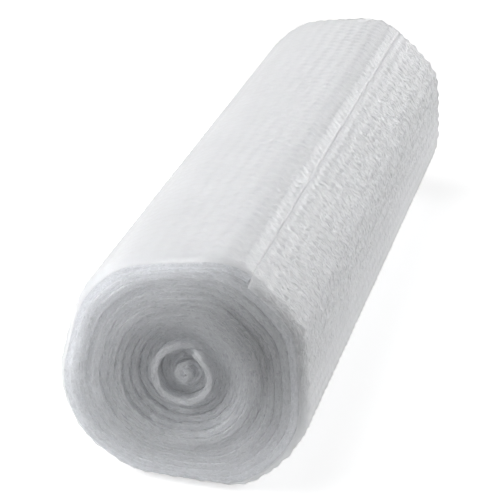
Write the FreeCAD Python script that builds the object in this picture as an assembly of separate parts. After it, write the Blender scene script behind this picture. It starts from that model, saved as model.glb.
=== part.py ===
import FreeCAD, Part
import math
import os

from FreeCAD import Vector

# The roll lies on its side: its axis runs along Y, the open end that shows faces -Y, and Z is up.
# Its origin is on the floor, under the middle of the roll.
# The film is one strip, wound clockwise from the eye outwards as seen from the -Y end.

# Film sizes, in millimetres
FILM_WIDTH = 600.0
FILM_THICKNESS = 4.2
TURN_GAP = 0.4

# Winding sizes, in millimetres
ROLL_RADIUS = 84.0
EYE_RADIUS = 1.5

# Bubble rows of the outermost turn, each drawn as one flat-topped ridge along the roll, in millimetres
ROW_PITCH = 9.0
ROW_HEIGHT = 2.0
ROW_SIDE = 2.6

# The soft roll is pressed a little flat in six directions: each has its angle round the roll,
# in degrees from +X towards +Z, and how far it is pressed in from the round, in millimetres.
FLOOR_DIRECTION = -90.0
FLOOR_PRESS = 10.0
SIDE_PRESSES = ((6.0, 5.5), (47.5, 2.7), (99.5, 4.7), (168.5, 3.4), (242.5, 3.9))
CORNER_SHARPNESS = 43.0
# The inner turns are rounder: this is how fast the flats fade towards the eye.
ROUNDING_POWER = 1.5

# The flat face that the roll rests on: its width across the roll, and how far it stands below the
# outline's lowest place, so that nothing else touches the floor, in millimetres
FLOOR_WIDTH = 56.0
FLOOR_SQUASH = 0.15

# The film's outer end lies at this angle, and is pressed thin over a stretch before it, in degrees.
TAIL_DIRECTION = 62.0
TAIL_LEAD = 38.0
STEP_SPAN = 60.0
# The step at the tail reaches this many turns into the roll.
STEP_TURNS = 5.0

# Ends of the roll, in millimetres: rounded shoulder, dish round the middle, one inner turn that has slipped
SHOULDER = 15.0
DISH_DEPTH = 11.0
DISH_RADIUS = 46.0
DISH_FLOOR_RADIUS = 20.0
SLIPPED_RADIUS = 17.0
SLIP = 9.0
EYE_LIFT = 4.0
# The film climbs to the slipped turn, and falls back from it, over this much winding, in degrees.
SLIP_RISE = 70.0

# Spacing of the points that carry a turn's curve, fewest points in a turn, points that measure the
# outermost turn, and how near edges join
POINT_SPACING = 14.0
FEWEST_POINTS = 10
MEASURING_POINTS = 720
SEW_TOLERANCE = 0.001

PITCH = FILM_THICKNESS + TURN_GAP
BASE_RADIUS = ROLL_RADIUS - ROW_HEIGHT
TURNS = (BASE_RADIUS - EYE_RADIUS - FILM_THICKNESS) / PITCH
FULL_WINDING = 2 * math.pi * TURNS


def clamp(value, low, high):
    """Keeps a value between two limits."""
    return max(low, min(high, value))


def smooth(share):
    """Rises smoothly from 0 to 1 as share goes from 0 to 1."""
    t = clamp(share, 0.0, 1.0)
    return t * t * (3.0 - 2.0 * t)


def direction(winding):
    """Angle round the roll, in radians, where the film lies after so much winding."""
    return math.radians(TAIL_DIRECTION) + FULL_WINDING - winding


def roundness(angle):
    """Share of the full radius that the soft outline reaches at an angle."""
    presses = ((FLOOR_DIRECTION, FLOOR_PRESS),) + SIDE_PRESSES
    total = 1.0
    for facing, depth in presses:
        toward = math.cos(angle - math.radians(facing))
        if toward > 0:
            total += (toward * ROLL_RADIUS / (ROLL_RADIUS - depth)) ** CORNER_SHARPNESS
    return total ** (-1.0 / CORNER_SHARPNESS)


def turns_wound(winding):
    """Turns counted along the film. The outer ones step out near the tail and are even elsewhere."""
    even = winding / (2 * math.pi)
    place = (winding - FULL_WINDING + math.radians(TAIL_LEAD)) / (2 * math.pi)
    whole = math.floor(place)
    stepped = TURNS + whole + smooth((place - whole) * 360.0 / STEP_SPAN)
    ease = smooth((even - TURNS + STEP_TURNS) / STEP_TURNS)
    return even + ease * (stepped - even)


def outer_radius(winding):
    """Radius of the film's outer side, before the roll is pressed."""
    return min(EYE_RADIUS + FILM_THICKNESS + PITCH * turns_wound(winding), BASE_RADIUS)


def inner_radius(winding):
    """Radius of the film's inner side, one gap above the turn below."""
    if winding < 2 * math.pi:
        return outer_radius(winding) - FILM_THICKNESS
    return outer_radius(winding - 2 * math.pi) + TURN_GAP


def section_point(radius, angle):
    """A place in the pressed section, as x and z from the roll's axis."""
    fade = (radius / BASE_RADIUS) ** ROUNDING_POWER
    pressed = radius * (1.0 + (roundness(angle) - 1.0) * fade)
    return pressed * math.cos(angle), pressed * math.sin(angle)


def slip(winding):
    """How far the turn round the eye has slipped towards -Y."""
    start = 2 * math.pi * (SLIPPED_RADIUS - EYE_RADIUS - FILM_THICKNESS) / PITCH
    rise = math.radians(SLIP_RISE)
    inside = smooth((winding - start) / rise)
    outside = smooth((winding - start - 2 * math.pi) / rise)
    first = 1.0 - smooth((winding - math.pi) / rise)
    return SLIP * (inside - outside) + EYE_LIFT * first


def inset(radius):
    """How far the film's edge lies in from the roll's widest, at a radius: the shoulder and the dish."""
    past = clamp((radius - BASE_RADIUS + SHOULDER) / SHOULDER, 0.0, 1.0)
    shoulder = SHOULDER * (1.0 - math.sqrt(1.0 - past * past))
    dish = DISH_DEPTH * (1.0 - smooth((radius - DISH_FLOOR_RADIUS) / (DISH_RADIUS - DISH_FLOOR_RADIUS)))
    return shoulder + dish


def edge_point(winding, radius, end):
    """A point on the film's edge: end is -1 for the end that shows and 1 for the far end."""
    x, z = section_point(radius, direction(winding))
    y = end * (FILM_WIDTH / 2 - inset(radius)) - slip(winding)
    return Vector(x, y, z)


def outer_edge(winding, end):
    """A point on the edge of the film's outer side."""
    return edge_point(winding, outer_radius(winding), end)


def inner_edge(winding, end):
    """A point on the edge of the film's inner side."""
    return edge_point(winding, inner_radius(winding), end)


def film_curves(first, last, edges, fewest):
    """Smooth curves along the film between two places, one for each (edge, end), points abreast."""
    length = (last - first) * outer_radius(last)
    count = max(fewest, math.ceil(length / POINT_SPACING))
    places = [first + (last - first) * i / count for i in range(count + 1)]
    middle = [section_point(outer_radius(w), direction(w)) for w in places]
    run = [0.0]
    for one, other in zip(middle, middle[1:]):
        run.append(run[-1] + math.dist(one, other))
    curves = []
    for edge, end in edges:
        spline = Part.BSplineCurve()
        spline.interpolate(Points=[edge(w, end) for w in places], Parameters=run)
        curves.append(spline.toShape())
    return curves


FILM_EDGES = ((inner_edge, -1), (outer_edge, -1), (inner_edge, 1), (outer_edge, 1))


def flat_face(near, far):
    """The flat face between two straight edges that lie side by side."""
    near_side = [near.firstVertex().Point, near.lastVertex().Point]
    far_side = [far.lastVertex().Point, far.firstVertex().Point]
    return Part.Face(Part.makePolygon(near_side + far_side + near_side[:1]))


def wrap(near_inner, near_outer, far_inner, far_outer, join_outer):
    """The four faces of a stretch of film between its four long edges."""
    return [
        Part.makeRuledSurface(near_inner, far_inner),
        join_outer(near_outer, far_outer),
        Part.makeRuledSurface(near_inner, near_outer),
        Part.makeRuledSurface(far_inner, far_outer),
    ]


def inner_turns(last):
    """Faces of the winding from the eye to the place where the outermost turn begins."""
    faces = []
    count = math.ceil(last / (2 * math.pi))
    for i in range(count):
        first_place = last * i / count
        last_place = last * (i + 1) / count
        curves = film_curves(first_place, last_place, FILM_EDGES, FEWEST_POINTS)
        faces += wrap(*curves, Part.makeRuledSurface)
    return faces


def row_places(first, last):
    """Places along the winding that part a stretch of the outermost turn into bubble rows."""
    winding = [first + (last - first) * i / MEASURING_POINTS for i in range(MEASURING_POINTS + 1)]
    points = [outer_edge(w, -1) for w in winding]
    run = [0.0]
    for a, b in zip(points, points[1:]):
        run.append(run[-1] + (b - a).Length)
    rows = max(1, round(run[-1] / ROW_PITCH))
    places = [first]
    for k in range(1, rows):
        target = run[-1] * k / rows
        i = next(j for j, length in enumerate(run) if length >= target)
        share = (target - run[i - 1]) / (run[i] - run[i - 1])
        places.append(winding[i - 1] + share * (winding[i] - winding[i - 1]))
    return places + [last]


def ridge(first, last, end):
    """The edge of one bubble row of the outermost turn: two sloping sides and a flat crown."""
    start = outer_edge(first, end)
    finish = outer_edge(last, end)
    share = ROW_SIDE / ROW_PITCH
    corners = [start]
    for place in (first + share * (last - first), last - share * (last - first)):
        x, z = section_point(outer_radius(place) + ROW_HEIGHT, direction(place))
        corners.append(Vector(x, start.y, z))
    corners.append(finish)
    return [Part.makeLine(one, other) for one, other in zip(corners, corners[1:])]


def floor_level():
    """Height of the floor below the roll's axis."""
    return -(ROLL_RADIUS - FLOOR_PRESS) - FLOOR_SQUASH


def floor_place(x):
    """The place along the outermost turn that lies above x, beside the flat face."""
    angle = math.atan2(floor_level(), x)
    winding = math.radians(TAIL_DIRECTION) + FULL_WINDING - angle
    while winding > FULL_WINDING:
        winding -= 2 * math.pi
    return winding


def strip(first, last, chains):
    """Faces of a stretch of the outermost turn whose outer edge is a chain of lines at each end."""
    faces = []
    pieces = len(chains[0])
    for i, (near_outer, far_outer) in enumerate(zip(*chains)):
        a = first + (last - first) * i / pieces
        b = first + (last - first) * (i + 1) / pieces
        near_inner, far_inner = film_curves(a, b, ((inner_edge, -1), (inner_edge, 1)), 1)
        faces += wrap(near_inner, near_outer, far_inner, far_outer, flat_face)
    return faces


def bubble_rows(first, last):
    """Faces of a stretch of the outermost turn with its bubble rows."""
    faces = []
    places = row_places(first, last)
    for a, b in zip(places, places[1:]):
        faces += strip(a, b, [ridge(a, b, end) for end in (-1, 1)])
    return faces


def floor_face(first, last):
    """Faces of the stretch that rests on the floor: its bubbles are squashed to one flat face."""
    chains = []
    for end in (-1, 1):
        start = outer_edge(first, end)
        finish = outer_edge(last, end)
        right = Vector(FLOOR_WIDTH / 2, start.y, floor_level())
        left = Vector(-FLOOR_WIDTH / 2, start.y, floor_level())
        corners = [start, right, left, finish]
        chains.append([Part.makeLine(a, b) for a, b in zip(corners, corners[1:])])
    return strip(first, last, chains)


def film_end(winding):
    """The small face that closes the strip at one of its two ends."""
    near, far = (Part.makeLine(inner_edge(winding, end), outer_edge(winding, end)) for end in (-1, 1))
    return Part.makeRuledSurface(near, far)


def wound_film():
    """The whole roll as one solid strip of film."""
    outermost = FULL_WINDING - 2 * math.pi
    margin = FLOOR_WIDTH / 2 + ROW_PITCH / 4
    floor_start = floor_place(margin)
    floor_finish = floor_place(-margin)
    faces = inner_turns(outermost)
    faces += bubble_rows(outermost, floor_start)
    faces += floor_face(floor_start, floor_finish)
    faces += bubble_rows(floor_finish, FULL_WINDING)
    faces += [film_end(0.0), film_end(FULL_WINDING)]
    skin = Part.Compound(faces)
    skin.sewShape(SEW_TOLERANCE)
    solid = Part.Solid(skin.Shells[0])
    if solid.Volume < 0:
        solid.reverse()
    return solid


def settle(solid):
    """Puts the origin on the floor, under the middle of the roll."""
    box = solid.optimalBoundingBox(False, False)
    solid.translate(Vector(-box.Center.x, -box.Center.y, -floor_level()))
    return solid


def main():
    """Builds the roll and writes it as one STEP file."""
    os.makedirs("parts", exist_ok=True)
    roll = settle(wound_film())
    roll.exportStep("parts/bubble_wrap_roll.step")
    print("turns", round(TURNS, 1), "volume", round(roll.Volume), "valid", roll.isValid())


main()
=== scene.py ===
"""A soft, coreless roll of bubble film, lying on its side: its looks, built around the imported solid.

Lengths are in metres, angles round the roll run from +X towards +Z as seen from the open end at -Y, and a
place along the film is its winding: the angle, in radians, that the film has been wound through from the eye.
"""

import enum
import logging
import math
from dataclasses import dataclass

import bpy
import numpy as np
from mathutils import Matrix, Vector

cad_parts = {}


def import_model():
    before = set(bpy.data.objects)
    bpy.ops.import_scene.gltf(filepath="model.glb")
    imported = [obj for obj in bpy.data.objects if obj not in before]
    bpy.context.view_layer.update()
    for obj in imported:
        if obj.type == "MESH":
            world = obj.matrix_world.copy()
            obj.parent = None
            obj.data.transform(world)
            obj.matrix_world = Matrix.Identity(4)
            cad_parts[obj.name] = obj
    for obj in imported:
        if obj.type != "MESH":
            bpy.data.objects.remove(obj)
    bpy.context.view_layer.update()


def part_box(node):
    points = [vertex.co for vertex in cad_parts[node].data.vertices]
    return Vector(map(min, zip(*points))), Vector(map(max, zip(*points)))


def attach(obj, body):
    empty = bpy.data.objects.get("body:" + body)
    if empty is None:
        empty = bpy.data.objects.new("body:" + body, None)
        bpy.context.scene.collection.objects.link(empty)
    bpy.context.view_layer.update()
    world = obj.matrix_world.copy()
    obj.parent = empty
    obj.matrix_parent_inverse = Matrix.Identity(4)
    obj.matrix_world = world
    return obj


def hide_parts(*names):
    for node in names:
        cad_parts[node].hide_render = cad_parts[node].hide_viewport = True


ROLL_NODE = "bubble_wrap_roll"
BODY = "root"
MM = 0.001

log = logging.getLogger("bubble_wrap_roll")


class End(enum.Enum):
    """The two ends of the roll, by the direction that they face along Y."""

    NEAR = -1.0
    FAR = 1.0


def smooth(share: np.ndarray) -> np.ndarray:
    """Rises smoothly from 0 to 1 as share goes from 0 to 1."""
    t = np.clip(share, 0.0, 1.0)
    return t * t * (3.0 - 2.0 * t)


@dataclass(frozen=True)
class RollShape:
    """How the film lies in the roll: the spiral, the pressed section and the dished ends of the solid."""

    axis_x: float
    axis_z: float
    half_width: float
    roll_radius: float = 84.0 * MM
    row_height: float = 2.0 * MM
    eye_radius: float = 1.5 * MM
    film_thickness: float = 4.2 * MM
    turn_gap: float = 0.4 * MM
    presses: tuple[tuple[float, float], ...] = (
        (-90.0, 10.0 * MM),
        (6.0, 5.5 * MM),
        (47.5, 2.7 * MM),
        (99.5, 4.7 * MM),
        (168.5, 3.4 * MM),
        (242.5, 3.9 * MM),
    )
    corner_sharpness: float = 43.0
    rounding_power: float = 1.5
    tail_direction: float = math.radians(62.0)
    tail_lead: float = math.radians(38.0)
    step_span: float = math.radians(60.0)
    step_turns: float = 5.0
    shoulder: float = 15.0 * MM
    dish_depth: float = 11.0 * MM
    dish_radius: float = 46.0 * MM
    dish_floor_radius: float = 20.0 * MM
    slipped_radius: float = 17.0 * MM
    slip_depth: float = 9.0 * MM
    eye_lift: float = 5.5 * MM
    slip_rise: float = math.radians(70.0)
    # The next three fields set painted shade: the cut edges and the folded shoulder are coloured darker on the side of
    # the roll round the given direction, less so at the rim.
    painted_shade_share: float = 0.55
    painted_shade_direction: float = math.radians(30.0)
    painted_shade_rim: float = 0.45

    @property
    def pitch(self) -> float:
        """Distance from one turn to the next."""
        return self.film_thickness + self.turn_gap

    @property
    def base_radius(self) -> float:
        """Radius of the outermost turn without its bubbles."""
        return self.roll_radius - self.row_height

    @property
    def turns(self) -> float:
        """Number of turns in the roll."""
        return (self.base_radius - self.eye_radius - self.film_thickness) / self.pitch

    @property
    def full_winding(self) -> float:
        """Winding at the film's outer end."""
        return 2 * math.pi * self.turns

    def direction(self, winding: np.ndarray) -> np.ndarray:
        """Angle round the roll where the film lies after so much winding."""
        return self.tail_direction + self.full_winding - winding

    def roundness(self, angle: np.ndarray) -> np.ndarray:
        """Share of the full radius that the soft outline reaches at an angle."""
        total = np.ones_like(angle)
        for facing, depth in self.presses:
            toward = np.maximum(np.cos(angle - math.radians(facing)), 0.0)
            total += (toward * self.roll_radius / (self.roll_radius - depth)) ** self.corner_sharpness
        return total ** (-1.0 / self.corner_sharpness)

    def turns_wound(self, winding: np.ndarray) -> np.ndarray:
        """Turns counted along the film. The outer ones step out near the tail."""
        even = winding / (2 * math.pi)
        place = (winding - self.full_winding + self.tail_lead) / (2 * math.pi)
        whole = np.floor(place)
        stepped = self.turns + whole + smooth((place - whole) * 2 * math.pi / self.step_span)
        ease = smooth((even - self.turns + self.step_turns) / self.step_turns)
        return even + ease * (stepped - even)

    def outer_radius(self, winding: np.ndarray) -> np.ndarray:
        """Radius of the film's outer side, before the roll is pressed."""
        stepped = self.eye_radius + self.film_thickness + self.pitch * self.turns_wound(winding)
        return np.minimum(stepped, self.base_radius)

    def inner_radius(self, winding: np.ndarray) -> np.ndarray:
        """Radius of the film's inner side, one gap above the turn below."""
        first_turn = np.maximum(self.outer_radius(winding) - self.film_thickness, 0.0)
        later = self.outer_radius(winding - 2 * math.pi) + self.turn_gap
        return np.where(winding < 2 * math.pi, first_turn, later)

    def painted_light_by_angle(self, angle: np.ndarray) -> np.ndarray:
        """Painted shade by angle: the share of colour kept there, darker on the side round the given direction."""
        return 1.0 - self.painted_shade_share * np.maximum(np.cos(angle - self.painted_shade_direction), 0.0) ** 2

    def section(self, radius: np.ndarray, angle: np.ndarray) -> np.ndarray:
        """Places in the pressed section.

        Args:
            radius: Radius of each place before the roll is pressed.
            angle: Angle of each place round the roll.

        Returns:
            An array of x and z in the frame, one row for each place.
        """
        fade = (np.maximum(radius, 0.0) / self.base_radius) ** self.rounding_power
        pressed = radius * (1.0 + (self.roundness(angle) - 1.0) * fade)
        return np.stack([self.axis_x + pressed * np.cos(angle), self.axis_z + pressed * np.sin(angle)], axis=-1)

    def slip(self, winding: np.ndarray) -> np.ndarray:
        """How far the turn round the eye has slipped towards -Y."""
        start = 2 * math.pi * (self.slipped_radius - self.eye_radius - self.film_thickness) / self.pitch
        inside = smooth((winding - start) / self.slip_rise)
        outside = smooth((winding - start - 2 * math.pi) / self.slip_rise)
        first = 1.0 - smooth((winding - math.pi) / self.slip_rise)
        return self.slip_depth * (inside - outside) + self.eye_lift * first

    def inset(self, radius: np.ndarray) -> np.ndarray:
        """How far the film's edge lies in from the roll's widest: the shoulder and the dish."""
        past = np.clip((radius - self.base_radius + self.shoulder) / self.shoulder, 0.0, 1.0)
        rounding = self.shoulder * (1.0 - np.sqrt(1.0 - past * past))
        into_dish = (radius - self.dish_floor_radius) / (self.dish_radius - self.dish_floor_radius)
        return rounding + self.dish_depth * (1.0 - smooth(into_dish))


def sampled_noise(length: np.ndarray, wavelength: float, seed: int) -> np.ndarray:
    """Smooth seeded noise from -1 to 1 along a length.

    Args:
        length: Places along the film, rising.
        wavelength: Distance over which the noise changes.
        seed: Seed of the draw.

    Returns:
        One value for each place.
    """
    count = int(math.ceil(length[-1] / wavelength)) + 2
    knots = np.random.default_rng(seed).uniform(-1.0, 1.0, count)
    place = length / wavelength
    low = np.floor(place).astype(int)
    share = smooth(place - low)
    return knots[low] * (1.0 - share) + knots[low + 1] * share


def mesh_from(name: str, points: np.ndarray, faces: np.ndarray | list) -> bpy.types.Mesh:
    """A smooth-shaded mesh of points and faces."""
    mesh = bpy.data.meshes.new(name)
    mesh.from_pydata([tuple(p) for p in points], [], [tuple(int(i) for i in f) for f in faces])
    mesh.update()
    mesh.shade_smooth()
    return mesh


def link(name: str, mesh: bpy.types.Mesh) -> bpy.types.Object:
    """Puts a mesh into the scene as an object at the origin."""
    piece = bpy.data.objects.new(name, mesh)
    bpy.context.scene.collection.objects.link(piece)
    return piece


def store(mesh: bpy.types.Mesh, name: str, kind: str, values: np.ndarray) -> None:
    """Stores one value or vector for each of a mesh's points.

    Args:
        mesh: The mesh.
        name: Name of the attribute.
        kind: FLOAT or FLOAT_VECTOR.
        values: One row for each point.
    """
    attribute = mesh.attributes.new(name, kind, "POINT")
    key = "value" if kind == "FLOAT" else "vector"
    attribute.data.foreach_set(key, np.asarray(values, np.float32).ravel())


class NodeTree:
    """A Geometry Nodes tree under construction."""

    def __init__(self, name: str, inputs: dict[str, tuple[str, object]]) -> None:
        """Starts a tree with a geometry in and out.

        Args:
            name: Name of the tree.
            inputs: Socket type and default value of each named input after the geometry.
        """
        self.tree = bpy.data.node_groups.new(name, "GeometryNodeTree")
        self.tree.interface.new_socket("Geometry", in_out="INPUT", socket_type="NodeSocketGeometry")
        for label, (kind, value) in inputs.items():
            socket = self.tree.interface.new_socket(label, in_out="INPUT", socket_type=kind)
            if value is not None:
                socket.default_value = value
        self.tree.interface.new_socket("Geometry", in_out="OUTPUT", socket_type="NodeSocketGeometry")
        self.given = self.tree.nodes.new("NodeGroupInput").outputs
        self.result = self.tree.nodes.new("NodeGroupOutput").inputs["Geometry"]

    def node(self, kind: str, settings: dict[str, object] | None = None, **inputs: object) -> bpy.types.Node:
        """Adds a node.

        Args:
            kind: Type of the node.
            settings: Properties of the node.
            inputs: Input sockets by name, with spaces as underscores: a socket to link or a value.

        Returns:
            The node.
        """
        node = self.tree.nodes.new(kind)
        for key, value in (settings or {}).items():
            setattr(node, key, value)
        for label, value in inputs.items():
            self.feed(node.inputs[label.replace("_", " ").strip()], value)
        return node

    def feed(self, socket: bpy.types.NodeSocket, value: object) -> None:
        """Links a socket to another, or sets its value."""
        if isinstance(value, bpy.types.NodeSocket):
            self.tree.links.new(value, socket)
        else:
            socket.default_value = value

    def math(self, operation: str, *values: object) -> bpy.types.NodeSocket:
        """The result of a sum on numbers."""
        node = self.node("ShaderNodeMath", {"operation": operation})
        for socket, value in zip(node.inputs, values):
            self.feed(socket, value)
        return node.outputs[0]

    def vector(self, operation: str, *values: object) -> bpy.types.NodeSocket:
        """The result of a sum on vectors. A scaled vector takes its scale last."""
        node = self.node("ShaderNodeVectorMath", {"operation": operation})
        sockets = [node.inputs[0], node.inputs["Scale"]] if operation == "SCALE" else node.inputs
        for socket, value in zip(sockets, values):
            self.feed(socket, value)
        return node.outputs[0]

    def named(self, name: str, kind: str) -> bpy.types.NodeSocket:
        """A named attribute of the geometry."""
        node = self.node("GeometryNodeInputNamedAttribute", {"data_type": kind}, Name=name)
        return node.outputs["Attribute"]

    def finish(self, geometry: bpy.types.NodeSocket) -> None:
        """Ends the tree in Realize Instances and Set Material."""
        realized = self.node("GeometryNodeRealizeInstances", Geometry=geometry)
        painted = self.node("GeometryNodeSetMaterial", Geometry=realized.outputs[0], Material=self.given["Material"])
        self.feed(self.result, painted.outputs[0])

    def bake(self, carrier: bpy.types.Object, values: dict[str, object]) -> bpy.types.Object:
        """Runs the tree on an object and keeps its result as a plain mesh.

        Args:
            carrier: Object whose mesh goes into the tree. The result replaces its mesh.
            values: Value of each named input.

        Returns:
            The same object, with no modifier.
        """
        modifier = carrier.modifiers.new(self.tree.name, "NODES")
        modifier.node_group = self.tree
        for item in self.tree.interface.items_tree:
            if item.in_out == "INPUT" and item.name in values:
                modifier[item.identifier] = values[item.name]
        carrier.update_tag()
        graph = bpy.context.evaluated_depsgraph_get()
        mesh = bpy.data.meshes.new_from_object(carrier.evaluated_get(graph))
        carrier.modifiers.remove(modifier)
        carrier.data = mesh
        mesh.name = carrier.name
        return carrier


class Shader:
    """A shader node tree or group under construction."""

    def __init__(self, tree: bpy.types.NodeTree) -> None:
        """Takes the tree that nodes are added to."""
        self.tree = tree

    def node(self, kind: str, settings: dict[str, object] | None = None, **inputs: object) -> bpy.types.Node:
        """Adds a node.

        Args:
            kind: Type of the node.
            settings: Properties of the node.
            inputs: Input sockets by name, with spaces as underscores: a socket to link or a value.

        Returns:
            The node.
        """
        node = self.tree.nodes.new(kind)
        for key, value in (settings or {}).items():
            setattr(node, key, value)
        for label, value in inputs.items():
            self.feed(node.inputs[label.replace("_", " ").strip()], value)
        return node

    def feed(self, socket: bpy.types.NodeSocket, value: object) -> None:
        """Links a socket to another, or sets its value."""
        if isinstance(value, bpy.types.NodeSocket):
            self.tree.links.new(value, socket)
        else:
            socket.default_value = value

    def math(self, operation: str, *values: object) -> bpy.types.NodeSocket:
        """The result of a sum on numbers."""
        node = self.node("ShaderNodeMath", {"operation": operation})
        for socket, value in zip(node.inputs, values):
            self.feed(socket, value)
        return node.outputs[0]


def film_haze_group() -> bpy.types.NodeTree:
    """The haze of thin film as a shader group: a cloudy tint, painted shade, and fine creases with painted glints.

    Returns:
        The group, which puts out Tint, Roughness and Height. It reads the painted light share, the slack and the flat
        place that are stored on the film.
    """
    group = bpy.data.node_groups.new("film haze", "ShaderNodeTree")
    face = group.interface
    defaults = {
        "Cloud Size": 0.03,
        "Cloud Depth": 0.1,
        "Crease Length": 0.006,
        "Crease Width": 0.0025,
        "Crease Shade": 0.2,
        "Gloss": 0.3,
    }
    for label, value in defaults.items():
        face.new_socket(label, in_out="INPUT", socket_type="NodeSocketFloat").default_value = value
    clear = face.new_socket("Film Color", in_out="INPUT", socket_type="NodeSocketColor")
    clear.default_value = (0.8, 0.8, 0.8, 1.0)
    face.new_socket("Tint", in_out="OUTPUT", socket_type="NodeSocketColor")
    face.new_socket("Roughness", in_out="OUTPUT", socket_type="NodeSocketFloat")
    face.new_socket("Height", in_out="OUTPUT", socket_type="NodeSocketFloat")
    shader = Shader(group)
    given = group.nodes.new("NodeGroupInput").outputs
    place = shader.node("ShaderNodeTexCoord").outputs["Object"]
    cloud_scale = shader.math("DIVIDE", 1.0, given["Cloud Size"])
    cloud = shader.node("ShaderNodeTexNoise", Vector=place, Scale=cloud_scale, Detail=3.0, Roughness=0.6)
    flat = shader.node("ShaderNodeAttribute", {"attribute_name": "flat_place"}).outputs["Vector"]
    size = shader.node("ShaderNodeCombineXYZ", X=given["Crease Length"], Y=given["Crease Width"])
    shader.feed(size.inputs["Z"], given["Crease Width"])
    steps = shader.node("ShaderNodeVectorMath", {"operation": "DIVIDE"})
    shader.feed(steps.inputs[0], flat)
    shader.feed(steps.inputs[1], size.outputs[0])
    crease = shader.node(
        "ShaderNodeTexNoise", Vector=steps.outputs[0], Scale=1.0, Detail=2.0, Roughness=0.55, Distortion=0.6
    )
    # Painted shade: the stored light share darkens the tint towards the core and on one side of the roll.
    light = shader.node("ShaderNodeAttribute", {"attribute_name": "light"}).outputs["Fac"]
    bent = shader.math("SUBTRACT", crease.outputs["Fac"], 0.5)
    cloudy = shader.math("MULTIPLY", shader.math("SUBTRACT", cloud.outputs["Fac"], 0.5), given["Cloud Depth"])
    ridge = shader.math("SUBTRACT", 0.5, shader.math("ABSOLUTE", bent))
    slack = shader.node("ShaderNodeAttribute", {"attribute_name": "slack"}).outputs["Fac"]
    # Painted glints: thin bright lines put into the tint along the crease crests where the film is slack; the rest is
    # made a little darker.
    crest = shader.math("MAXIMUM", shader.math("SUBTRACT", ridge, 0.46), 0.0)
    glint = shader.math("MULTIPLY", shader.math("SUBTRACT", crest, 0.02), slack)
    painted_glint_tint = shader.math("MULTIPLY", glint, given["Crease Shade"])
    level = shader.math("MULTIPLY", light, shader.math("ADD", shader.math("ADD", 1.0, cloudy), painted_glint_tint))
    tint = shader.node("ShaderNodeVectorMath", {"operation": "SCALE"}, Vector=given["Film Color"], Scale=level)
    patch = shader.math("MULTIPLY", shader.math("MULTIPLY", bent, slack), 0.3)
    out = group.nodes.new("NodeGroupOutput").inputs
    shader.feed(out["Tint"], tint.outputs[0])
    shader.feed(out["Roughness"], shader.math("SUBTRACT", given["Gloss"], patch))
    shader.feed(out["Height"], shader.math("MULTIPLY", ridge, slack))
    return group


@dataclass(frozen=True)
class FilmFinish:
    """The finish of the film: milky where turns lie on each other, glossy on its skin."""

    name: str
    color: tuple[float, float, float]
    gloss: float
    cloud_size: float
    cloud_depth: float
    crease_length: float
    crease_width: float
    crease_height: float
    # Strength of the painted glints: bright lines put into the colour along the crease crests.
    painted_glint: float
    milkiness: float
    scatter: float
    sheen: float
    coat: float

    def material(self, haze: bpy.types.NodeTree) -> bpy.types.Material:
        """Builds the material.

        Args:
            haze: The shared film haze group.

        Returns:
            The material.
        """
        material = bpy.data.materials.new(self.name)
        material.use_nodes = True
        shader = Shader(material.node_tree)
        skin = material.node_tree.nodes["Principled BSDF"]
        film = shader.node("ShaderNodeGroup", {"node_tree": haze})
        film.inputs["Film Color"].default_value = (*self.color, 1.0)
        film.inputs["Cloud Size"].default_value = self.cloud_size
        film.inputs["Cloud Depth"].default_value = self.cloud_depth
        film.inputs["Crease Length"].default_value = self.crease_length
        film.inputs["Crease Width"].default_value = self.crease_width
        film.inputs["Crease Shade"].default_value = self.painted_glint
        film.inputs["Gloss"].default_value = self.gloss
        bump = shader.node(
            "ShaderNodeBump", Height=film.outputs["Height"], Distance=self.crease_height, Strength=1.0
        )
        shader.feed(skin.inputs["Base Color"], film.outputs["Tint"])
        shader.feed(skin.inputs["Roughness"], film.outputs["Roughness"])
        shader.feed(skin.inputs["Normal"], bump.outputs["Normal"])
        skin.subsurface_method = "BURLEY"
        skin.inputs["Subsurface Weight"].default_value = self.milkiness
        skin.inputs["Subsurface Radius"].default_value = (1.0, 1.0, 1.0)
        skin.inputs["Subsurface Scale"].default_value = self.scatter
        skin.inputs["Sheen Weight"].default_value = self.sheen
        skin.inputs["Sheen Roughness"].default_value = 0.35
        skin.inputs["Coat Weight"].default_value = self.coat
        skin.inputs["Coat Roughness"].default_value = 0.12
        skin.inputs["IOR"].default_value = 1.5
        return material


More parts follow.
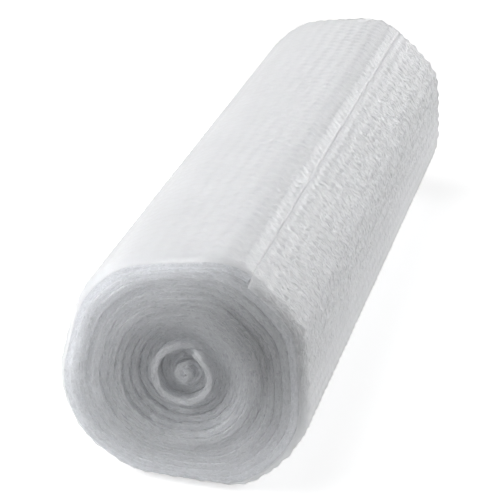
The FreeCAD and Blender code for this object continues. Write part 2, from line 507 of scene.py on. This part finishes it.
@dataclass
class WoundTurns:
    """The turns under the outermost one, wound from one strip, with the cut edges that both ends show."""

    shape: RollShape
    finish: bpy.types.Material
    station_spacing: float = 2.4 * MM
    first_winding: float = -1.9 * math.pi
    bubble_row: float = 9.0 * MM
    seal_share: float = 0.72
    edge_wander: float = 0.8 * MM
    edge_wander_length: float = 45.0 * MM
    edge_ripple: float = 0.4 * MM
    edge_ripple_length: float = 5.0 * MM
    tuck_radius: float = 76.5 * MM
    tuck: float = 0.6 * MM
    lip_depth: float = 1.0 * MM
    near_lip_steps: int = 11
    far_lip_steps: int = 7
    lip_groove: float = 0.9 * MM
    crumple: float = 0.7 * MM
    crumple_size: float = 2.6 * MM
    core_crumple: float = 0.8
    # Painted shade in the cut edges' colour: the light share at the core, where the side shade reaches full strength,
    # where it eases off towards the rim, and how fast the core's shade fades out. The core radius also sets the
    # crumple.
    painted_core_light: float = 0.48
    painted_shade_full_at: float = 0.55
    rim_from: float = 0.65
    core_radius: float = 17.0 * MM
    painted_light_falloff: float = 3.2
    touching: float = 1.09

    def stations(self) -> tuple[np.ndarray, np.ndarray]:
        """Places along the film, one station spacing apart.

        Returns:
            The winding at each place, and the film's length up to it.
        """
        last = self.shape.full_winding - 2 * math.pi
        fine = np.linspace(self.first_winding, last, 40000)
        line = self.shape.section(self.shape.outer_radius(fine), self.shape.direction(fine))
        run = np.concatenate([[0.0], np.cumsum(np.linalg.norm(np.diff(line, axis=0), axis=1))])
        count = int(run[-1] / self.station_spacing)
        length = np.linspace(0.0, run[-1], count + 1)
        return np.interp(length, run, fine), length

    def guide(self) -> bpy.types.Mesh:
        """The line that the strip is wound along, with its sizes and painted light share stored at each place.

        Returns:
            A mesh of edges on the film's inner side.
        """
        winding, length = self.stations()
        angle = self.shape.direction(winding)
        inner = self.shape.section(self.shape.inner_radius(winding), angle)
        outer = self.shape.section(self.shape.outer_radius(winding), angle)
        flat = self.seal_share
        puff = flat + (1.0 - flat) * np.abs(np.sin(math.pi * length / self.bubble_row)) ** 0.7
        middle = self.shape.outer_radius(winding) - self.shape.film_thickness / 2
        level = self.shape.inset(middle)
        hidden = smooth((middle - self.tuck_radius) / self.shape.pitch + 0.5)
        from_core = np.clip((middle - self.core_radius) / (self.shape.base_radius - self.core_radius), 0.0, 1.0)
        mesh = bpy.data.meshes.new("film guide")
        points = [(x, 0.0, z) for x, z in inner]
        edges = [(i, i + 1) for i in range(len(points) - 1)]
        mesh.from_pydata(points, edges, [])
        outward = np.zeros((len(points), 3))
        outward[:, 0] = (outer - inner)[:, 0]
        outward[:, 2] = (outer - inner)[:, 1]
        store(mesh, "outward", "FLOAT_VECTOR", outward)
        store(mesh, "puff", "FLOAT", puff)
        store(mesh, "slip", "FLOAT", self.shape.slip(winding))
        # Painted shade in the cut edges' colour: darker towards the core, and darker on one side of the roll, eased
        # near the core and at the rim.
        at_rim = smooth((from_core - self.rim_from) / (1.0 - self.rim_from))
        clear = np.minimum(from_core / self.painted_shade_full_at, 1.0) * (1.0 + (self.shape.painted_shade_rim - 1.0) * at_rim)
        painted_side_shade = 1.0 + (self.shape.painted_light_by_angle(angle) - 1.0) * clear
        light = self.painted_core_light + (1.0 - self.painted_core_light) * from_core**self.painted_light_falloff
        store(mesh, "light", "FLOAT", light * painted_side_shade)
        store(mesh, "loose", "FLOAT", 1.0 + self.core_crumple * (1.0 - from_core) ** 2)
        store(mesh, "run", "FLOAT", length)
        store(mesh, "slack", "FLOAT", np.ones_like(length))
        for end, label in ((End.NEAR, "near_reach"), (End.FAR, "far_reach")):
            seed = 11 if end is End.NEAR else 12
            wander = self.edge_wander * sampled_noise(length, self.edge_wander_length, seed)
            ripple = self.edge_ripple * sampled_noise(length, self.edge_ripple_length, seed + 10)
            reach = self.shape.half_width - level - hidden * self.tuck + wander + ripple - self.edge_wander
            store(mesh, label, "FLOAT", reach)
        return mesh

    def lip(self, end: End, steps: int) -> np.ndarray:
        """Places on one lip of the strip, which has two crests: the flat film's and the bubbles'.

        Args:
            end: The end of the roll that the lip shows at.
            steps: Number of places, from the film's outer side to its inner side.

        Returns:
            The end, the depth in from it, the share of the film's height and the share of the crumple, by place.
        """
        half_turn = np.linspace(0.0, math.pi, steps)
        depth = self.lip_depth * (1.0 - np.sin(half_turn)) + self.lip_groove * np.sin(half_turn) ** 12
        height = 0.5 + 0.5 * np.cos(half_turn)
        return np.stack([np.full(steps, end.value), depth, height, np.sin(half_turn)], axis=-1)

    def profile(self) -> bpy.types.Object:
        """The strip's cross-section: one point for each long edge, with its place stored on it.

        Returns:
            An object whose mesh is a closed ring of edges.
        """
        near = self.lip(End.NEAR, self.near_lip_steps)
        far = self.lip(End.FAR, self.far_lip_steps)
        places = np.concatenate([near, far[::-1]])
        turn = np.linspace(0.0, 2 * math.pi, len(places), endpoint=False)
        ring = [(math.cos(a) * MM, math.sin(a) * MM, 0.0) for a in turn]
        mesh = bpy.data.meshes.new("film profile")
        mesh.from_pydata(ring, [(i, (i + 1) % len(ring)) for i in range(len(ring))], [])
        store(mesh, "end", "FLOAT", places[:, 0])
        store(mesh, "tuck", "FLOAT", places[:, 1])
        store(mesh, "up", "FLOAT", places[:, 2])
        store(mesh, "crest", "FLOAT", places[:, 3])
        return link("film profile", mesh)

    def winding_tree(self) -> NodeTree:
        """The tree that winds the strip along its guide.

        Returns:
            The tree, whose inputs are the profile and the material.
        """
        tree = NodeTree(
            "wind the film",
            {
                "Profile": ("NodeSocketObject", None),
                "Touching": ("NodeSocketFloat", 1.0),
                "Crumple": ("NodeSocketFloat", self.crumple),
                "Crumple Size": ("NodeSocketFloat", self.crumple_size),
                "Seed": ("NodeSocketInt", 3),
                "Material": ("NodeSocketMaterial", None),
            },
        )
        spine = tree.node(
            "GeometryNodeStoreNamedAttribute",
            {"data_type": "FLOAT_VECTOR", "domain": "POINT"},
            Geometry=tree.given["Geometry"],
            Name="spine",
            Value=tree.node("GeometryNodeInputPosition").outputs[0],
        )
        rail = tree.node("GeometryNodeMeshToCurve", Mesh=spine.outputs[0])
        info = tree.node("GeometryNodeObjectInfo", Object=tree.given["Profile"])
        ring = tree.node("GeometryNodeMeshToCurve", Mesh=info.outputs["Geometry"])
        strip = tree.node(
            "GeometryNodeCurveToMesh", Curve=rail.outputs[0], Profile_Curve=ring.outputs[0], Fill_Caps=True
        )
        at_lip = tree.math("MULTIPLY", tree.named("crest", "FLOAT"), tree.math("SUBTRACT", 1.0, tree.named("puff", "FLOAT")))
        swell = tree.math("SUBTRACT", tree.given["Touching"], at_lip)
        height = tree.math("MULTIPLY", tree.named("up", "FLOAT"), swell)
        raised = tree.vector("SCALE", tree.named("outward", "FLOAT_VECTOR"), height)
        end = tree.named("end", "FLOAT")
        reach = tree.node(
            "GeometryNodeSwitch",
            {"input_type": "FLOAT"},
            Switch=tree.math("GREATER_THAN", end, 0.0),
            False_=tree.named("near_reach", "FLOAT"),
            True_=tree.named("far_reach", "FLOAT"),
        )
        along = tree.math("MULTIPLY", end, tree.math("SUBTRACT", reach.outputs[0], tree.named("tuck", "FLOAT")))
        across = tree.node("ShaderNodeCombineXYZ", Y=tree.math("SUBTRACT", along, tree.named("slip", "FLOAT")))
        place = tree.vector("ADD", tree.vector("ADD", tree.named("spine", "FLOAT_VECTOR"), raised), across.outputs[0])
        wound = tree.node("GeometryNodeSetPosition", Geometry=strip.outputs[0], Position=place)
        creases = tree.node(
            "ShaderNodeTexNoise",
            {"noise_dimensions": "4D"},
            Vector=tree.node("GeometryNodeInputPosition").outputs[0],
            W=tree.given["Seed"],
            Scale=tree.math("DIVIDE", 1.0, tree.given["Crumple Size"]),
            Detail=2.0,
        )
        centred = tree.vector("SUBTRACT", creases.outputs["Color"], (0.5, 0.5, 0.5))
        amount = tree.math("MULTIPLY", tree.given["Crumple"], tree.math("MULTIPLY", tree.named("crest", "FLOAT"), 4.0))
        amount = tree.math("MULTIPLY", amount, tree.named("loose", "FLOAT"))
        crumpled = tree.node("GeometryNodeSetPosition", Geometry=wound.outputs[0], Offset=tree.vector("SCALE", centred, amount))
        flat = tree.node("ShaderNodeCombineXYZ", X=tree.named("run", "FLOAT"), Y=along)
        tree.feed(flat.inputs["Z"], tree.math("MULTIPLY", tree.named("up", "FLOAT"), self.shape.film_thickness))
        laid = tree.node(
            "GeometryNodeStoreNamedAttribute",
            {"data_type": "FLOAT_VECTOR", "domain": "POINT"},
            Geometry=crumpled.outputs[0],
            Name="flat_place",
            Value=flat.outputs[0],
        )
        shaded = tree.node("GeometryNodeSetShadeSmooth", Geometry=laid.outputs[0])
        tree.finish(shaded.outputs[0])
        return tree

    def build(self) -> bpy.types.Object:
        """Winds the turns.

        Returns:
            The piece.
        """
        carrier = link("wound_turns", self.guide())
        profile = self.profile()
        values = {
            "Profile": profile,
            "Touching": self.touching,
            "Crumple": self.crumple,
            "Crumple Size": self.crumple_size,
            "Seed": 3,
            "Material": self.finish,
        }
        piece = self.winding_tree().bake(carrier, values)
        bpy.data.objects.remove(profile)
        return piece


@dataclass
class BubbleSheet:
    """The outermost turn: one closed sheet of film, folded over both shoulders and raised into bubbles."""

    shape: RollShape
    finish: bpy.types.Material
    bubble_pitch: float = 10.4 * MM
    row_pitch: float = 9.0 * MM
    steps_per_bubble: float = 4.5
    shoulder_fold: float = math.radians(40.0)
    least_edge: float = 0.2 * MM
    lap_ease: float = 20.0 * MM
    lap_length: float = 8.0 * MM
    lap_steps: int = 4
    lap_rise: float = 0.3 * MM
    lap_gap: float = 0.05 * MM
    lap_tuck: float = 0.5 * MM
    tail_press: float = 0.9 * MM
    tail_press_length: float = 26.0 * MM
    near_border: float = 10.0 * MM
    far_border: float = 4.0 * MM
    tail_border: float = 1.2 * MM
    wobble: float = 1.4 * MM
    wobble_size: float = 22.0 * MM
    slackness: float = 0.5
    slack_direction: float = math.radians(30.0)
    least_slack: float = 0.05
    crease_focus: float = 6.0
    least_height: float = 0.5
    height_focus: float = 1.0
    wrinkle: float = 0.12 * MM
    wrinkle_size: float = 4.5 * MM
    seed: int = 7

    def __post_init__(self) -> None:
        """Works out the stations round the roll and the lines along it."""
        tail = self.shape.full_winding
        lap = np.linspace(-self.lap_length, 0.0, self.lap_steps + 1)
        fine = np.linspace(tail - 2 * math.pi, tail, 8000)
        line = self.shape.section(self.shape.outer_radius(fine), self.shape.direction(fine))
        run = np.concatenate([[0.0], np.cumsum(np.linalg.norm(np.diff(line, axis=0), axis=1))])
        count = round(run[-1] / (self.row_pitch / self.steps_per_bubble))
        turn = np.linspace(0.0, run[-1], count + 1)
        self.length = np.concatenate([lap[:-1], turn])
        self.row_pitch = run[-1] / round(run[-1] / self.row_pitch)
        lap_winding = tail - 2 * math.pi + lap[:-1] / self.shape.base_radius
        self.winding = np.concatenate([lap_winding, np.interp(turn, run, fine)])
        step = self.bubble_pitch / self.steps_per_bubble
        straight = self.shape.half_width - self.shape.shoulder
        fold = self.shoulder_fold * self.shape.shoulder
        over = np.linspace(0.0, fold, round(fold / step) + 1)[1:]
        middle = np.linspace(-straight, straight, round(2 * straight / step) + 1)
        self.across = np.concatenate([-straight - over[::-1], middle, straight + over])

    def to_tail(self) -> np.ndarray:
        """Length of film from each station to the tail."""
        return self.length[-1] - self.length

    def outer_side(self) -> np.ndarray:
        """Points of the film's outer side between its bubbles.

        Returns:
            An array of places, by station round the roll and line along it.
        """
        shape = self.shape
        straight = shape.half_width - shape.shoulder
        folded = np.clip((np.abs(self.across) - straight) / (self.shoulder_fold * shape.shoulder), 0.0, None)
        bend = self.fold_limit()[:, None] * folded[None, :]
        y = np.sign(self.across) * (np.minimum(np.abs(self.across), straight) + shape.shoulder * np.sin(bend))
        past_lap = smooth(self.length / self.lap_ease)
        pressed = self.tail_press * smooth(1.0 - self.to_tail() / self.tail_press_length)
        top = shape.outer_radius(self.winding) + self.lap_rise * (1.0 - past_lap) - pressed
        profile = shape.base_radius - shape.shoulder * (1.0 - np.cos(bend))
        tucked = self.lap_tuck * (1.0 - past_lap)
        radius = np.minimum(top[:, None], profile - tucked[:, None])
        angle = np.broadcast_to(shape.direction(self.winding)[:, None], radius.shape)
        flat = shape.section(radius, angle)
        return np.stack([flat[..., 0], y, flat[..., 1]], axis=-1)

    def fold_limit(self) -> np.ndarray:
        """How far the film folds over the shoulder at each station: no farther than its own thickness allows."""
        shape = self.shape
        spare = shape.base_radius - self.inner_level() - self.least_edge
        return np.minimum(self.shoulder_fold, np.arccos(1.0 - spare / shape.shoulder))

    def inner_level(self) -> np.ndarray:
        """Radius of the film's inner side at each station. The lap lies just above the turn that it continues."""
        under_tail = self.shape.outer_radius(self.winding) + self.lap_gap
        return np.where(self.length > 0.0, self.shape.inner_radius(self.winding), under_tail)

    def inner_side(self) -> np.ndarray:
        """Points of the film's inner side at its two edges, by station and end."""
        shape = self.shape
        radius = self.inner_level()
        flat = shape.section(radius, shape.direction(self.winding))
        reach = shape.half_width - shape.inset(radius)
        ends = [np.stack([flat[:, 0], end.value * reach, flat[:, 1]], axis=-1) for end in (End.NEAR, End.FAR)]
        return np.stack(ends, axis=1)

    def facing(self, points: np.ndarray) -> np.ndarray:
        """Outward direction of the film at each of its points."""
        round_way = np.gradient(points, axis=0)
        along_way = np.gradient(points, axis=1)
        normal = np.cross(round_way, along_way)
        return normal / np.linalg.norm(normal, axis=-1, keepdims=True)

    def lift(self, points: np.ndarray, facing: np.ndarray) -> np.ndarray:
        """Share of its full height that a bubble may reach at each point.

        Args:
            points: Places on the film's outer side.
            facing: Outward direction there.

        Returns:
            One share for each place. It falls off at the borders, and the floor squashes what faces it.
        """
        from_end = np.where(self.length < 0.0, 0.0, np.minimum(self.length, self.to_tail()))
        border = np.where(self.across < 0.0, self.near_border, self.far_border)
        from_side = (self.across[-1] - np.abs(self.across)) / border
        share = smooth(from_end / self.tail_border)[:, None] * smooth(0.1 + from_side)[None, :]
        downward = np.maximum(-facing[..., 2], 0.01)
        loose = self.looseness(self.shape.direction(self.winding), self.height_focus)
        share *= self.least_height + (1.0 - self.least_height) * np.maximum(loose[:, None], downward)
        return np.minimum(share, np.maximum(points[..., 2], 0.0) / (downward * self.shape.row_height))

    def looseness(self, angle: np.ndarray, focus: float) -> np.ndarray:
        """How loose the film lies at an angle, from 1 where it is slackest to 0 on the far side of the roll."""
        return np.maximum(np.cos(angle - self.slack_direction), 0.0) ** focus

    def sheet(self) -> bpy.types.Mesh:
        """The closed sheet before its bubbles are raised: a fine outer side and a plain inner side.

        Returns:
            A mesh that stores each point's flat place, outward direction and share of the bubbles' height.
        """
        top = self.outer_side()
        bottom = self.inner_side()
        rows, columns = top.shape[:2]
        first = rows * columns
        faces = []
        for i in range(rows - 1):
            row, under = i * columns, first + 2 * i
            for a in range(row, row + columns - 1):
                faces.append((a, a + columns, a + columns + 1, a + 1))
            last = row + columns - 1
            faces.append((under, under + 1, under + 3, under + 2))
            faces.append((row, under, under + 2, row + columns))
            faces.append((last, last + columns, under + 3, under + 1))
        start = list(range(columns))
        finish = list(range((rows - 1) * columns, first))
        faces.append((*start, first + 1, first))
        faces.append((*finish[::-1], first + 2 * rows - 2, first + 2 * rows - 1))
        mesh = mesh_from("bubble_sheet", np.concatenate([top.reshape(-1, 3), bottom.reshape(-1, 3)]), faces)
        flat = np.zeros((len(mesh.vertices), 3))
        flat[:first, 0] = np.repeat(self.length, columns)
        flat[:first, 1] = np.tile(self.across, rows)
        flat[first:, 0] = np.repeat(self.length, 2)
        flat[first:, 1] = np.tile(self.across[[0, -1]], rows)
        flat[first:, 2] = self.shape.film_thickness
        normal = self.facing(top)
        facing = np.zeros_like(flat)
        facing[:first] = normal.reshape(-1, 3)
        lift = np.zeros(len(mesh.vertices))
        lift[:first] = self.lift(top, normal).ravel()
        store(mesh, "flat_place", "FLOAT_VECTOR", flat)
        store(mesh, "facing", "FLOAT_VECTOR", facing)
        store(mesh, "lift", "FLOAT", lift)
        straight = self.shape.half_width - self.shape.shoulder
        folded = np.clip((np.abs(flat[:, 1]) - straight) / (self.across[-1] - straight), 0.0, 1.0)
        angle = self.shape.direction(np.interp(flat[:, 0], self.length, self.winding))
        # Painted shade on the folded shoulder: darker on one side of the roll, growing towards the fold's edge.
        store(mesh, "light", "FLOAT", 1.0 + (self.shape.painted_light_by_angle(angle) - 1.0) * self.shape.painted_shade_rim * folded)
        slack = self.least_slack + (1.0 - self.least_slack) * self.looseness(angle, self.crease_focus)
        store(mesh, "slack", "FLOAT", slack)
        corners = np.zeros(len(mesh.loops), np.int32)
        mesh.loops.foreach_get("vertex_index", corners)
        layer = mesh.uv_layers.new(name="film")
        layer.data.foreach_set("uv", flat[corners, :2].astype(np.float32).ravel())
        return mesh

    def tree(self) -> NodeTree:
        """The tree that raises the bubbles in close-packed rows.

        Returns:
            The tree, with the sizes of the pattern as inputs.
        """
        tree = NodeTree(
            "rows of bubbles",
            {
                "Bubble Pitch": ("NodeSocketFloat", self.bubble_pitch),
                "Row Pitch": ("NodeSocketFloat", self.row_pitch),
                "Height": ("NodeSocketFloat", self.shape.row_height),
                "Wobble": ("NodeSocketFloat", self.wobble),
                "Wobble Size": ("NodeSocketFloat", self.wobble_size),
                "Slackness": ("NodeSocketFloat", self.slackness),
                "Wrinkle": ("NodeSocketFloat", self.wrinkle),
                "Wrinkle Size": ("NodeSocketFloat", self.wrinkle_size),
                "Seed": ("NodeSocketInt", self.seed),
                "Material": ("NodeSocketMaterial", None),
            },
        )
        given = tree.given
        flat = tree.named("flat_place", "FLOAT_VECTOR")
        noise = tree.node(
            "ShaderNodeTexNoise",
            {"noise_dimensions": "4D"},
            Vector=flat,
            W=given["Seed"],
            Scale=tree.math("DIVIDE", 1.0, given["Wobble Size"]),
            Detail=1.0,
        )
        centred = tree.vector("SUBTRACT", noise.outputs["Color"], (0.5, 0.5, 0.5))
        shift = tree.vector("SCALE", centred, tree.math("MULTIPLY", given["Wobble"], 4.0))
        place = tree.node("ShaderNodeSeparateXYZ", Vector=tree.vector("ADD", flat, shift))
        full = 2 * math.pi
        along = tree.math("MULTIPLY", tree.math("DIVIDE", place.outputs["Y"], given["Bubble Pitch"]), full)
        across = tree.math("MULTIPLY", tree.math("DIVIDE", place.outputs["X"], given["Row Pitch"]), full)
        half = tree.math("MULTIPLY", across, 0.5)
        waves = tree.math("ADD", self.wave(tree, "SUBTRACT", along, half), self.wave(tree, "ADD", along, half))
        waves = tree.math("ADD", waves, tree.math("COSINE", across))
        dome = tree.node("ShaderNodeMapRange", {"clamp": True}, Value=waves)
        dome.inputs["From Min"].default_value = -1.5
        dome.inputs["From Max"].default_value = 3.0
        swell = dome.outputs[0]
        slack = tree.node(
            "ShaderNodeTexNoise",
            {"noise_dimensions": "4D"},
            Vector=flat,
            W=tree.math("ADD", given["Seed"], 5.0),
            Scale=tree.math("DIVIDE", 1.0, given["Bubble Pitch"]),
            Detail=1.0,
        )
        loss = tree.math("MULTIPLY", tree.math("SUBTRACT", slack.outputs["Fac"], 0.3), given["Slackness"])
        share = tree.math("SUBTRACT", 1.0, tree.math("MAXIMUM", loss, 0.0))
        creases = tree.node(
            "ShaderNodeTexNoise",
            {"noise_dimensions": "4D"},
            Vector=flat,
            W=tree.math("ADD", given["Seed"], 9.0),
            Scale=tree.math("DIVIDE", 1.0, given["Wrinkle Size"]),
            Detail=1.0,
        )
        folds = tree.math("MULTIPLY", tree.math("ABSOLUTE", tree.math("SUBTRACT", creases.outputs["Fac"], 0.5)), -6.0)
        rise = tree.math("MULTIPLY", tree.math("MULTIPLY", swell, share), given["Height"])
        rise = tree.math("ADD", rise, tree.math("MULTIPLY", folds, given["Wrinkle"]))
        rise = tree.math("MULTIPLY", rise, tree.named("lift", "FLOAT"))
        offset = tree.vector("SCALE", tree.named("facing", "FLOAT_VECTOR"), rise)
        raised = tree.node("GeometryNodeSetPosition", Geometry=given["Geometry"], Offset=offset)
        tree.finish(raised.outputs[0])
        return tree

    def wave(self, tree: NodeTree, operation: str, one: object, other: object) -> bpy.types.NodeSocket:
        """One of the three waves whose crests meet at the bubbles."""
        return tree.math("COSINE", tree.math(operation, one, other))

    def build(self) -> bpy.types.Object:
        """Raises the bubbles.

        Returns:
            The piece.
        """
        carrier = link("bubble_sheet", self.sheet())
        values = {
            "Bubble Pitch": self.bubble_pitch,
            "Row Pitch": self.row_pitch,
            "Height": self.shape.row_height,
            "Wobble": self.wobble,
            "Wobble Size": self.wobble_size,
            "Slackness": self.slackness,
            "Wrinkle": self.wrinkle,
            "Wrinkle Size": self.wrinkle_size,
            "Seed": self.seed,
            "Material": self.finish,
        }
        return self.tree().bake(carrier, values)


@dataclass
class Studio:
    """The plain pale floor, the white surroundings and the soft lamps."""

    axis_x: float
    floor_size: float = 12.0
    world_light: float = 0.15
    lamps: tuple[tuple[str, tuple[float, float, float], float, float], ...] = (
        ("top lamp", (-0.5, -0.45, 1.7), 1.0, 8.3),
        ("left lamp", (-2.0, -0.9, 0.9), 1.6, 31.5),
        ("right lamp", (1.9, 1.3, 0.95), 1.4, 22.0),
        ("back lamp", (1.0, 2.8, 0.8), 0.8, 5.0),
        ("front lamp", (-0.5, -1.4, 1.7), 0.5, 2.6),
    )

    def backdrop(self) -> None:
        """A floor that shows as white, and keeps the roll's soft shadow."""
        half = self.floor_size / 2
        corners = np.array([(-half, -half, 0.0), (half, -half, 0.0), (half, half, 0.0), (-half, half, 0.0)])
        floor = link("floor", mesh_from("floor", corners, [(0, 1, 2, 3)]))
        material = bpy.data.materials.new("pale floor")
        material.use_nodes = True
        shader = Shader(material.node_tree)
        matte = material.node_tree.nodes["Principled BSDF"]
        matte.inputs["Base Color"].default_value = (0.85, 0.85, 0.85, 1.0)
        matte.inputs["Roughness"].default_value = 0.9
        matte.inputs["Specular IOR Level"].default_value = 0.0
        glow = shader.node("ShaderNodeEmission", Strength=self.seen_directly(shader, 0.6))
        both = shader.node("ShaderNodeAddShader")
        shader.feed(both.inputs[0], matte.outputs[0])
        shader.feed(both.inputs[1], glow.outputs[0])
        shader.feed(material.node_tree.nodes["Material Output"].inputs["Surface"], both.outputs[0])
        floor.data.materials.append(material)

    def seen_directly(self, shader: Shader, strength: float) -> bpy.types.NodeSocket:
        """A strength that only camera, glossy and transmission rays meet."""
        path = shader.node("ShaderNodeLightPath").outputs
        seen = shader.math("MAXIMUM", path["Is Camera Ray"], path["Is Glossy Ray"])
        seen = shader.math("MAXIMUM", seen, path["Is Transmission Ray"])
        return shader.math("MULTIPLY", seen, strength)

    def surroundings(self) -> None:
        """White surroundings that light the roll from all sides at a plain level."""
        world = bpy.data.worlds.new("white surroundings")
        bpy.context.scene.world = world
        world.use_nodes = True
        shader = Shader(world.node_tree)
        seen = self.seen_directly(shader, 1.0 - self.world_light)
        strength = shader.math("ADD", seen, self.world_light)
        sky = world.node_tree.nodes["Background"]
        sky.inputs["Color"].default_value = (1.0, 1.0, 1.0, 1.0)
        shader.feed(sky.inputs["Strength"], strength)

    def lights(self) -> None:
        """Soft lamps from above and both sides, turned to the roll."""
        for name, place, size, power in self.lamps:
            lamp = bpy.data.lights.new(name, "AREA")
            lamp.shape = "DISK"
            lamp.size = size
            lamp.energy = power
            stand = bpy.data.objects.new(name, lamp)
            stand.location = place
            towards = Vector((self.axis_x, 0.0, 0.08)) - Vector(place)
            stand.rotation_euler = towards.to_track_quat("-Z", "Y").to_euler()
            bpy.context.scene.collection.objects.link(stand)

    def build(self) -> None:
        """Builds the studio and sets plain colours."""
        self.backdrop()
        self.surroundings()
        self.lights()
        bpy.context.scene.view_settings.view_transform = "Standard"


@dataclass
class PhotoCamera:
    """The camera, at the photograph's place, given from the roll's axis at its near end."""

    axis_x: float
    axis_z: float
    near_y: float
    place: tuple[float, float, float] = (0.27223, -1.21481, 0.56927)
    target: tuple[float, float, float] = (0.03765, 0.0, 0.08929)
    roll: float = 0.0686
    focal_pixels: float = 2232.1
    image_pixels: float = 503.0
    sensor_width: float = 36.0

    def build(self) -> bpy.types.Object:
        """Makes the camera and gives it to the scene.

        Returns:
            The camera.
        """
        lens = bpy.data.cameras.new("photo camera")
        lens.sensor_width = self.sensor_width
        lens.lens = self.sensor_width * self.focal_pixels / self.image_pixels
        lens.clip_start = 0.05
        lens.clip_end = 50.0
        camera = bpy.data.objects.new("photo camera", lens)
        bpy.context.scene.collection.objects.link(camera)
        base = Vector((self.axis_x, self.near_y, self.axis_z))
        place = base + Vector(self.place)
        forward = (base + Vector(self.target) - place).normalized()
        right = forward.cross(Vector((0.0, 0.0, 1.0))).normalized()
        up = right.cross(forward)
        turned_right = math.cos(self.roll) * right + math.sin(self.roll) * up
        turned_up = -math.sin(self.roll) * right + math.cos(self.roll) * up
        turn = Matrix((turned_right, turned_up, -forward)).transposed().to_4x4()
        camera.matrix_world = Matrix.Translation(place) @ turn
        bpy.context.scene.camera = camera
        return camera


def joined(name: str, parts: list[bpy.types.Object]) -> bpy.types.Object:
    """Joins stretches of the film into one piece, so that light spreads through all of it.

    Args:
        name: Name of the piece.
        parts: Objects to join, which all become the first one.

    Returns:
        The piece.
    """
    with bpy.context.temp_override(
        active_object=parts[0], selected_objects=parts, selected_editable_objects=parts
    ):
        bpy.ops.object.join()
    parts[0].name = name
    parts[0].data.name = name
    return parts[0]


def adopt(piece: bpy.types.Object) -> None:
    """Puts a finished piece on the roll's body, in place of the plain solid."""
    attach(piece, BODY)
    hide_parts(ROLL_NODE)
    triangles = sum(len(polygon.vertices) - 2 for polygon in piece.data.polygons)
    log.info("%s: %d triangles", piece.name, triangles)


def roll_shape() -> RollShape:
    """The roll's shape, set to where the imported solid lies."""
    low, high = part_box(ROLL_NODE)
    return RollShape(axis_x=1.3292 * MM, axis_z=low.z + 74.15 * MM, half_width=(high.y - low.y) / 2)


def main() -> None:
    """Builds the roll around its frame."""
    logging.basicConfig(level=logging.INFO, format="%(name)s: %(message)s")
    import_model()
    shape = roll_shape()
    PhotoCamera(axis_x=shape.axis_x, axis_z=shape.axis_z, near_y=-shape.half_width).build()
    haze = film_haze_group()
    edge_finish = FilmFinish(
        name="cut film edges",
        color=(0.92, 0.94, 0.98),
        gloss=0.3,
        cloud_size=0.03,
        cloud_depth=0.15,
        crease_length=0.0045,
        crease_width=0.0012,
        crease_height=0.002,
        # Painted glints along the creases of the cut edges.
        painted_glint=4.5,
        milkiness=1.0,
        scatter=0.013,
        sheen=0.3,
        coat=0.6,
    ).material(haze)
    bubble_finish = FilmFinish(
        name="bubble film",
        color=(0.84, 0.85, 0.87),
        gloss=0.3,
        cloud_size=0.04,
        cloud_depth=0.08,
        crease_length=0.007,
        crease_width=0.003,
        crease_height=0.0045,
        # Painted glints along the creases of the bubble film.
        painted_glint=6.0,
        milkiness=1.0,
        scatter=0.022,
        sheen=0.3,
        coat=0.3,
    ).material(haze)
    turns = WoundTurns(shape, edge_finish).build()
    sheet = BubbleSheet(shape, bubble_finish).build()
    adopt(joined("wound_film", [turns, sheet]))
    Studio(axis_x=shape.axis_x).build()


if __name__ == "__main__":
    main()
